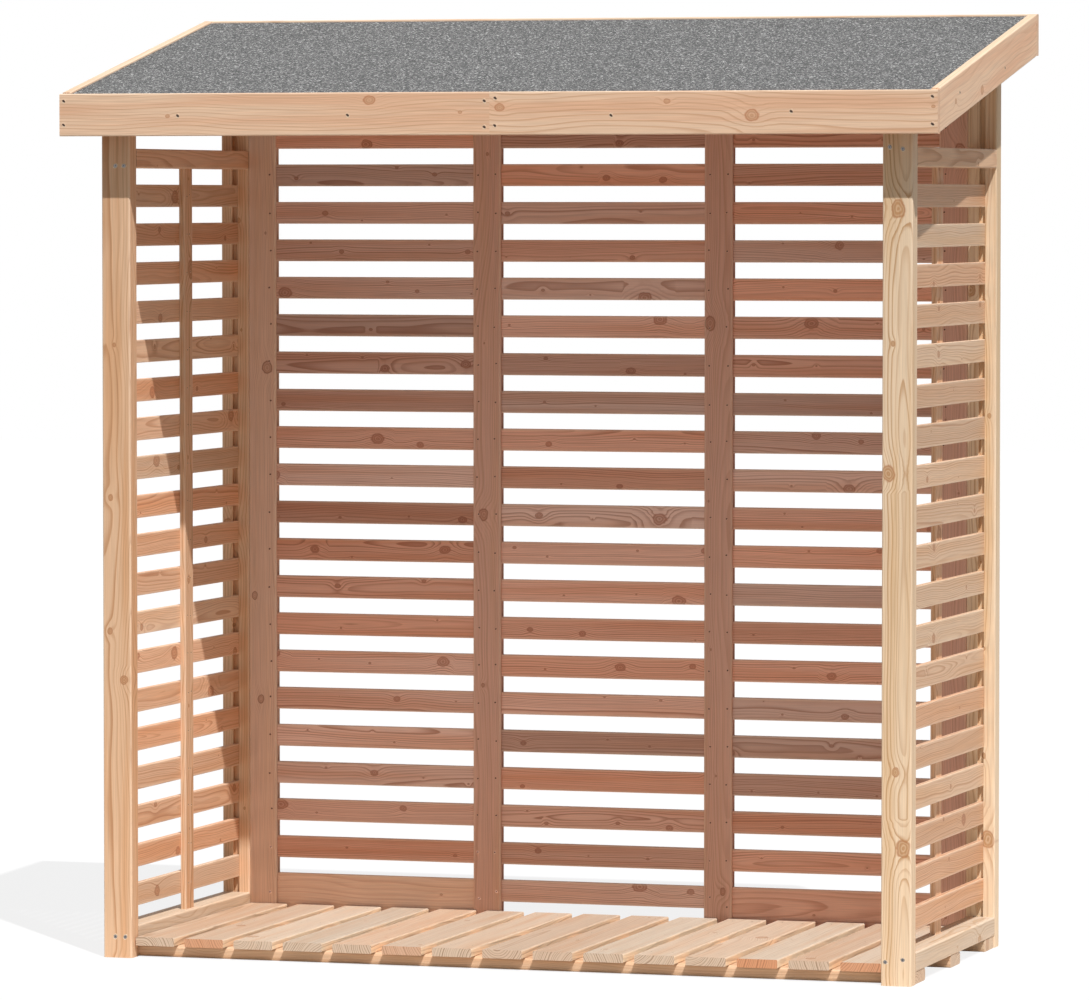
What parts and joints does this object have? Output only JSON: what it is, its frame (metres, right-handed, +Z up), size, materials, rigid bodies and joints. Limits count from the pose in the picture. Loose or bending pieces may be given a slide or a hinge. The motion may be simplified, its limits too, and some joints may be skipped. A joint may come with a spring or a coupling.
{
  "type": "log store",
  "caption": "Open-fronted slatted softwood log store with grooved corner posts, a boarded floor on bearers and a lean-to felt roof framed by fascia boards.",
  "frame": {"origin": "on the ground under the middle of the roof's outline", "axes": "+X to the right seen from the open front, +Y from the open front to the back wall, +Z up"},
  "size_m": [2.09, 0.984, 2.2036],
  "materials": {
    "frame_wood": "planed, untreated",
    "slat_wood": "planed, untreated",
    "floor_wood": "planed, untreated",
    "fascia_wood": "planed, untreated",
    "roof_wood": "sawn, untreated",
    "roof_felt": "mineral granules on bitumen"
  },
  "bodies": {
    "root": {"front_left_post": "frame_wood", "front_right_post": "frame_wood", "rear_left_post": "frame_wood", "rear_right_post": "frame_wood", "left_bottom_rail": "frame_wood", "right_bottom_rail": "frame_wood", "left_top_rail": "frame_wood", "right_top_rail": "frame_wood", "left_wall_slats": "slat_wood", "right_wall_slats": "slat_wood", "left_centre_batten": "slat_wood", "right_centre_batten": "slat_wood", "back_outer_left_stile": "frame_wood", "back_inner_left_stile": "frame_wood", "back_inner_right_stile": "frame_wood", "back_outer_right_stile": "frame_wood", "back_left_slats": "slat_wood", "back_middle_slats": "slat_wood", "back_right_slats": "slat_wood", "back_left_foot_board": "slat_wood", "back_right_foot_board": "slat_wood", "back_left_head_board": "slat_wood", "back_middle_head_board": "slat_wood", "back_right_head_board": "slat_wood", "front_beam": "frame_wood", "rear_beam": "frame_wood", "front_bearer": "floor_wood", "middle_bearer": "floor_wood", "rear_bearer": "floor_wood", "floor_deck": "floor_wood", "outer_left_rafter": "roof_wood", "inner_rafters": "roof_wood", "outer_right_rafter": "roof_wood", "roof_boards": "roof_wood", "roof_felt": "roof_felt", "front_fascia_left": "fascia_wood", "front_fascia_right": "fascia_wood", "left_fascia": "fascia_wood", "right_fascia": "fascia_wood", "rear_fascia": "fascia_wood"}
  },
  "joints": []
}
